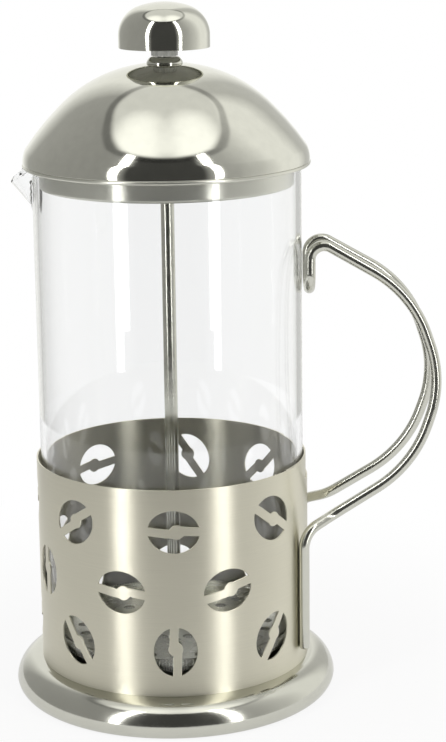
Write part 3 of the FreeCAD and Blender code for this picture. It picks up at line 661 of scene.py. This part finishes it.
def make_beaker():
    """Straight-walled glass with a rounded rim, pinched out into a spout on the -X side."""
    low_corner, high_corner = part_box("beaker")
    outer = high_corner.x / MM
    tip = -low_corner.x / MM
    base, rim = low_corner.z / MM, high_corner.z / MM
    inner = outer - WALL
    root_reach = outer - 1.0
    lip_reach = root_reach + (tip - root_reach) * SPOUT_DEPTH / (SPOUT_DEPTH - SPOUT_DROP)
    slope = SPOUT_DROP / (tip - outer)

    def spout_radius(wall, shrink, a, z):
        """Distance out to the spout's wall in direction a, counted from -X."""
        t = (z - (rim - SPOUT_DEPTH)) / SPOUT_DEPTH
        if t <= 0 or abs(a) > math.pi / 2:
            return wall
        size = (SPOUT_LIP - shrink) * (SPOUT_SHARE + (1 - SPOUT_SHARE) * t)
        root_at = root_reach - SPOUT_LIP * SPOUT_SHARE
        middle = root_at + (lip_reach - SPOUT_LIP - root_at) * t
        side = middle * math.sin(a)
        if abs(side) >= size:
            return wall
        return blend_max(wall, middle * math.cos(a) + math.sqrt(size * size - side * side), 1.2)

    def rim_height(wall, shrink, a):
        z = rim
        for _ in range(8):
            out = spout_radius(wall, shrink, a, z) * math.cos(a)
            z = rim - slope * max(0.0, out - outer)
        return z

    # even steps all round, and finer ones across the spout
    angles = sorted({round(k * 1.5, 3) for k in range(-120, 120)}
                    | {round(k * 0.4, 3) for k in range(-45, 46)})
    hollow, corner, floor_z = 4.0, 5.0, base + 3.0
    foot = arc_points(Vector((outer - corner, base)), Vector((outer, base + corner)), corner, 9)
    basin = arc_points(Vector((inner - hollow, floor_z)), Vector((inner, floor_z + hollow)), hollow, 9)
    bottom = [Vector((r, base)) for r in (outer - corner, outer * 0.6, outer * 0.3)]
    inside = [Vector((r, floor_z)) for r in (inner * 0.3, inner * 0.6, inner - hollow)]
    rise = 40
    work = bmesh.new()
    columns = []
    for degrees in angles:
        a = math.radians(degrees)
        out = Vector((-math.cos(a), -math.sin(a), 0))
        column = [out * p.x + Vector((0, 0, p.y)) for p in reversed(bottom)]
        column += [out * p.x + Vector((0, 0, p.y)) for p in foot]
        top_out, top_in = rim_height(outer, 0.0, a), rim_height(inner, WALL, a)
        edge = WALL / 2
        low_out, low_in = base + corner, floor_z + hollow
        for k in range(1, rise + 1):
            t = 1 - (1 - k / rise) ** 1.6
            z = low_out + (top_out - edge - low_out) * t
            column.append(out * spout_radius(outer, 0.0, a, z) + Vector((0, 0, z)))
        last_out = column[-1]
        walls = []
        for k in range(rise, -1, -1):
            t = 1 - (1 - k / rise) ** 1.6
            z = low_in + (top_in - edge - low_in) * t
            walls.append(out * spout_radius(inner, WALL, a, z) + Vector((0, 0, z)))
        first_in = walls[0]
        centre = (last_out + first_in) / 2
        arm = last_out - centre
        for k in range(1, 8):
            b = math.pi * k / 8
            column.append(centre + arm * math.cos(b) + Vector((0, 0, edge * math.sin(b))))
        column += walls[:-1]
        column += [out * p.x + Vector((0, 0, p.y)) for p in reversed(basin)]
        column += [out * p.x + Vector((0, 0, p.y)) for p in reversed(inside)]
        columns.append([work.verts.new(point) for point in column])
    under = work.verts.new((0, 0, base))
    over = work.verts.new((0, 0, floor_z))
    for index, column in enumerate(columns):
        following = columns[(index + 1) % len(columns)]
        work.faces.new((under, following[0], column[0]))
        for k in range(len(column) - 1):
            work.faces.new((column[k], following[k], following[k + 1], column[k + 1]))
        work.faces.new((over, column[-1], following[-1]))
    finish_piece("beaker", work, "beaker", "glass", ["beaker"], sharp=60.0)


# ---------------------------------------------------------------------------
# Lid
# ---------------------------------------------------------------------------

LID_OVERHANG = 3.2


def make_dome():
    """Three bends: a round crown, a long flank and a tight shoulder at the rim."""
    _, low, top = span("lid_dome")
    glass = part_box("beaker")[1].x / MM
    rim, sheet = glass + LID_OVERHANG, 0.7
    flank, shoulder = rim - 13.1, rim - 1.1
    lathe("lid_dome", [
        (rim, low), (shoulder, low + 5.2, 11.0), (flank, top - 15.8, 94.0), (6.6, top, 51.1),
        (4.7, top), (4.7, top - sheet), (6.6, top - sheet), (flank - 0.49, top - 16.29, -50.4),
        (shoulder - 0.67, low + 4.99, -93.3), (rim - sheet, low, -10.3)],
        "lid", "polished_steel", count=360, ease=0.2)


def make_pan():
    """Pan under the dome: a flange with a rolled edge on the rim, a skirt inside the glass."""
    out, low, top = span("lid_insert")
    sheet, bead = 0.6, 0.7
    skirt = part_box("beaker")[1].x / MM - WALL - 0.7
    bead_r, bead_z = out - bead, top - bead
    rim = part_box("beaker")[1].z / MM
    lathe("lid_insert", [
        (3.1, low), (skirt - 1.2, low), (skirt, low + 1.2, 1.2), (skirt, rim), (bead_r - bead, rim),
        (bead_r - bead, bead_z), (bead_r, bead_z - bead, bead), (out, bead_z, bead), (bead_r, top, bead),
        (skirt - sheet, top), (skirt - sheet, low + 1.2), (skirt - 1.2, low + sheet, -0.8), (3.1, low + sheet)],
        "lid", "brushed_steel", count=256, ease=0.1, material="pan_steel")


def make_bush():
    """Bell-shaped guide on the crown of the dome."""
    neck, low, top = span("lid_bush")
    seat = span("lid_dome")[2]
    lathe("lid_bush", [
        (2.55, low), (4.6, low), (4.6, seat), (neck, seat), (neck, seat + 0.5), (4.9, top, 3.4), (2.55, top)],
        "lid", "plated_steel", count=96)


# ---------------------------------------------------------------------------
# Plunger
# ---------------------------------------------------------------------------

def make_rod():
    """Bright rod with a thinner threaded stub at each end."""
    rod, low, top = span("plunger_rod")
    lower, upper = span("hub_collar")[2], span("knob_core")[1] + 4.5
    stub, depth, pitch = 2.0, 0.16, 0.7

    def threaded(start, end, up):
        count = int((end - start) / pitch)
        points = []
        for k in range(count):
            z = start + pitch * k
            points += [(stub - depth, z + pitch * 0.1), (stub, z + pitch * 0.45), (stub, z + pitch * 0.6)]
        return points if up else list(reversed(points))

    corners = [(0, low), (stub - depth, low)] + threaded(low + 0.3, lower - 0.6, True)
    corners += [(stub, lower), (rod, lower), (rod, upper), (stub, upper)]
    corners += threaded(upper + 0.3, top - 0.3, True) + [(stub - depth, top), (0, top)]
    lathe("plunger_rod", corners, "plunger", "polished_wire", count=64, ease=0.1)


def make_knob():
    """Hollow cap: straight skirt, generous corner and a low crown, over a ribbed core."""
    out, low, top = span("knob_cap")
    sheet, skirt, crown, drop = 0.7, 4.7, 9.9, 1.8
    crown_bend = (crown ** 2 + drop ** 2) / (2 * drop)
    inner_r, inner_z, inner_top = crown - 0.315, top - drop - 0.63, top - sheet
    inner_drop = inner_top - inner_z
    inner_bend = (inner_r ** 2 + inner_drop ** 2) / (2 * inner_drop)
    lathe("knob_cap", [
        (out - sheet, low), (out, low), (out, low + skirt), (crown, top - drop, 11.1), (0, top, crown_bend),
        (0, inner_top), (inner_r, inner_z, -inner_bend), (out - sheet, low + skirt, -10.4)],
        "plunger", "polished_steel", count=256, ease=0.18)


def make_core():
    """Ribbed plastic core under the knob."""
    disc, low, top = span("knob_core")
    stem, rib, ribs, disc_low = 4.45, 0.4, 12, top - 2.4

    def ribbed(point, a):
        if abs(point.x - stem) > 0.05 or point.y > disc_low + 0.01:
            return point.x
        nearest = (a + math.pi / ribs) % (2 * math.pi / ribs) - math.pi / ribs
        side = stem * math.sin(nearest)
        if abs(side) >= rib:
            return point.x
        return max(point.x, stem * math.cos(nearest) + math.sqrt(rib * rib - side * side))

    lathe("knob_core", [
        (2.55, low), (stem, low), (stem, disc_low), (disc, disc_low), (disc, top), (2.05, top),
        (2.05, low + 4.5), (2.55, low + 4.5)],
        "plunger", "milky_polymer", count=288, ease=0.0001, reshape=ribbed)


def make_coil():
    """Closed coil spring round the strainer's edge."""
    low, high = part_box("edge_coil")
    size = (high.z - low.z) / MM / 2
    ring = high.x / MM - size
    wire = 0.3
    middle = (low.z + high.z) / 2 / MM
    turns = 240
    per_turn = 10
    points = []
    for k in range(turns * per_turn):
        a = 2 * math.pi * k / (turns * per_turn)
        b = 2 * math.pi * k / per_turn
        radius = ring + (size - wire) * math.cos(b)
        height = middle + (size - wire) * math.sin(b)
        points.append(Vector((radius * math.cos(a), radius * math.sin(a), height)))
    work = bmesh.new()
    smooth_line(points, wire, work, sides=6, closed=True)
    finish_piece("edge_coil", work, "plunger", "strainer_steel", ["edge_coil"], sharp=80.0)


def dress_nodes():
    """CAD nodes that stay in view get the material of their slot."""
    for entry in frame["record"]["subparts"]:
        if entry["node"] in MODELLED:
            continue
        node = frame["nodes"][entry["node"]]
        made = MATERIALS[entry["material_slot"]]
        if node.data.materials:
            for index in range(len(node.data.materials)):
                node.data.materials[index] = made
        else:
            node.data.materials.append(made)


# ---------------------------------------------------------------------------
# Stage and light
# ---------------------------------------------------------------------------

FLOOR_REACH = 0.42
MIRRORED_FLOOR = 0.6


def make_floor():
    """Round pale table top that fades to the white of the background at its edge."""
    work = bmesh.new()
    bmesh.ops.create_circle(work, cap_ends=True, segments=96, radius=FLOOR_REACH)
    mesh = bpy.data.meshes.new("floor")
    work.to_mesh(mesh)
    work.free()
    floor = bpy.data.objects.new("floor", mesh)
    bpy.context.scene.collection.objects.link(floor)
    made, nodes = start_material("floor_paper")
    coords = nodes.add("ShaderNodeTexCoord")
    out = nodes.add("ShaderNodeVectorMath", {0: coords.outputs["Object"]}, operation="LENGTH").outputs["Value"]
    colour = nodes.ramp(nodes.noise(40), [(0.3, (0.86, 0.86, 0.86)), (0.7, (0.88, 0.88, 0.88))])
    paper = nodes.add("ShaderNodeBsdfDiffuse", {"Color": colour})
    white = nodes.add("ShaderNodeEmission", {"Color": grey(1.0), "Strength": 1.0})
    path = nodes.add("ShaderNodeLightPath")
    seen = nodes.math("MAXIMUM", path.outputs["Is Camera Ray"], path.outputs["Is Transmission Ray"])
    seen = nodes.math("MAXIMUM", seen, nodes.math("MULTIPLY", path.outputs["Is Glossy Ray"], MIRRORED_FLOOR))
    fade = nodes.ease(out, FLOOR_REACH * 0.15, FLOOR_REACH * 0.6)
    factor = nodes.math("MULTIPLY", seen, nodes.math("MULTIPLY_ADD", fade, 0.12, 0.88))
    mix = nodes.add("ShaderNodeMixShader", {"Fac": factor})
    nodes.put(mix.inputs[1], paper.outputs[0])
    nodes.put(mix.inputs[2], white.outputs[0])
    floor.data.materials.append(end_material(made, nodes, mix))


ROOM_LIGHT = 0.62

# The room that polished metal mirrors: degrees round from the front towards +X, grey level.
WALL_STOPS = [(-180, 1.0), (-162, 1.0), (-142, 0.42), (-100, 0.36), (-38, 0.32), (-32, 0.06), (30, 0.06),
              (36, 0.36), (60, 0.48), (85, 0.7), (105, 1.0), (130, 1.0), (146, 0.6), (160, 0.62), (170, 1.0), (180, 1.0)]
CEILING, CEILING_FROM = 0.82, 60.0
CORNICE_FROM, CORNICE_TO = 56.0, 58.5
# Two glows on the ceiling: degrees round, degrees up. Each fades out over GLOW_REACH degrees.
GLOWS = [(-47, 64), (48, 64)]
GLOW_LIGHT, GLOW_CORE, GLOW_REACH = 0.6, 5.0, 24.0
WARM = (1.0, 1.0, 0.965)


def heading(around, above):
    """Direction from the press, around degrees from the camera side towards +X."""
    a, e = math.radians(around), math.radians(above)
    return Vector((math.sin(a) * math.cos(e), -math.cos(a) * math.cos(e), math.sin(e)))


def make_world():
    """White behind the press for the camera, the metal and the glass; a dim room in front of it."""
    world = bpy.data.worlds.new("studio")
    world.use_nodes = True
    bpy.context.scene.world = world
    nodes = Nodes(world.node_tree)
    coords = nodes.add("ShaderNodeTexCoord")
    parts = nodes.add("ShaderNodeSeparateXYZ", {"Vector": coords.outputs["Generated"]})
    around = nodes.math("ARCTAN2", parts.outputs["X"], nodes.math("MULTIPLY", parts.outputs["Y"], -1.0))
    turned = nodes.math("MULTIPLY_ADD", around, 0.5 / math.pi, 0.5)
    up = nodes.math("MULTIPLY", nodes.math("ARCSINE", parts.outputs["Z"]), 180 / math.pi)
    wall = nodes.ramp(turned, [(turn / 360 + 0.5, shade(WARM, level)) for turn, level in WALL_STOPS])
    over = nodes.math("MULTIPLY", nodes.ease(up, CORNICE_FROM - 2, CORNICE_FROM),
                      nodes.math("SUBTRACT", 1.0, nodes.ease(up, CORNICE_TO, CEILING_FROM)))
    room = nodes.add("ShaderNodeBackground", {"Color": wall, "Strength": nodes.span(over, 1.0, 0.55)})
    glow = 0.0
    for turn, rise in GLOWS:
        way = heading(turn, rise)
        near = nodes.add("ShaderNodeVectorMath", {0: coords.outputs["Generated"], 1: way},
                         operation="DOT_PRODUCT").outputs["Value"]
        lit = nodes.ease(near, math.cos(math.radians(GLOW_REACH)), math.cos(math.radians(GLOW_CORE)))
        glow = nodes.math("MULTIPLY_ADD", lit, GLOW_LIGHT, glow)
    ceiling = nodes.add("ShaderNodeBackground", {"Color": (*WARM, 1),
                                                 "Strength": nodes.math("ADD", glow, CEILING)})
    lift = nodes.ease(up, CORNICE_TO, CEILING_FROM + 2)
    seen_room = nodes.add("ShaderNodeMixShader", {"Fac": lift})
    nodes.put(seen_room.inputs[1], room.outputs[0])
    nodes.put(seen_room.inputs[2], ceiling.outputs[0])
    fill = nodes.add("ShaderNodeBackground", {"Color": grey(ROOM_LIGHT), "Strength": 1.0})
    white = nodes.add("ShaderNodeBackground", {"Color": grey(1.0), "Strength": 1.0})
    path = nodes.add("ShaderNodeLightPath")
    # straight through the glass is white; what metal inside the glass mirrors is the room
    straight = nodes.math("LESS_THAN", path.outputs["Glossy Depth"], 0.5)
    through = nodes.math("MULTIPLY", path.outputs["Is Transmission Ray"], straight)
    seen = nodes.math("MAXIMUM", path.outputs["Is Camera Ray"], through)
    bounced = nodes.math("GREATER_THAN", path.outputs["Glossy Depth"], 0.5)
    mirrored = nodes.math("MAXIMUM", path.outputs["Is Glossy Ray"], bounced)
    mirror = nodes.add("ShaderNodeMixShader", {"Fac": mirrored})
    nodes.put(mirror.inputs[1], fill.outputs[0])
    nodes.put(mirror.inputs[2], seen_room.outputs[0])
    mix = nodes.add("ShaderNodeMixShader", {"Fac": seen})
    nodes.put(mix.inputs[1], mirror.outputs[0])
    nodes.put(mix.inputs[2], white.outputs[0])
    output = nodes.add("ShaderNodeOutputWorld")
    nodes.put(output.inputs["Surface"], mix.outputs[0])


def soft_box(name, around, above, distance, size, power):
    """A rectangular lamp aimed at the press."""
    data = bpy.data.lights.new(name, "AREA")
    data.shape = "RECTANGLE"
    data.size = size[0]
    data.size_y = size[1]
    data.energy = power
    lamp = bpy.data.objects.new(name, data)
    bpy.context.scene.collection.objects.link(lamp)
    out = heading(around, above)
    middle = (CAD_BOX[0] + CAD_BOX[1]) / 2
    lamp.location = Vector((0, 0, middle.z)) + out * distance
    lamp.rotation_euler = out.to_track_quat("Z", "Y").to_euler()
    lamp.visible_camera = False
    return lamp


def make_lights():
    soft_box("soft_box_left", -42.5, 23, 1.1, (0.14, 1.6), 4.2)
    soft_box("soft_box_right", 41, 23, 1.1, (0.13, 1.6), 3.8)


make_camera()
make_foot()
make_sleeve()
make_handle()
make_beaker()
make_dome()
make_pan()
make_bush()
make_rod()
make_knob()
make_core()
make_coil()
dress_nodes()
make_floor()
make_world()
make_lights()

bpy.context.scene.view_settings.view_transform = "Standard"
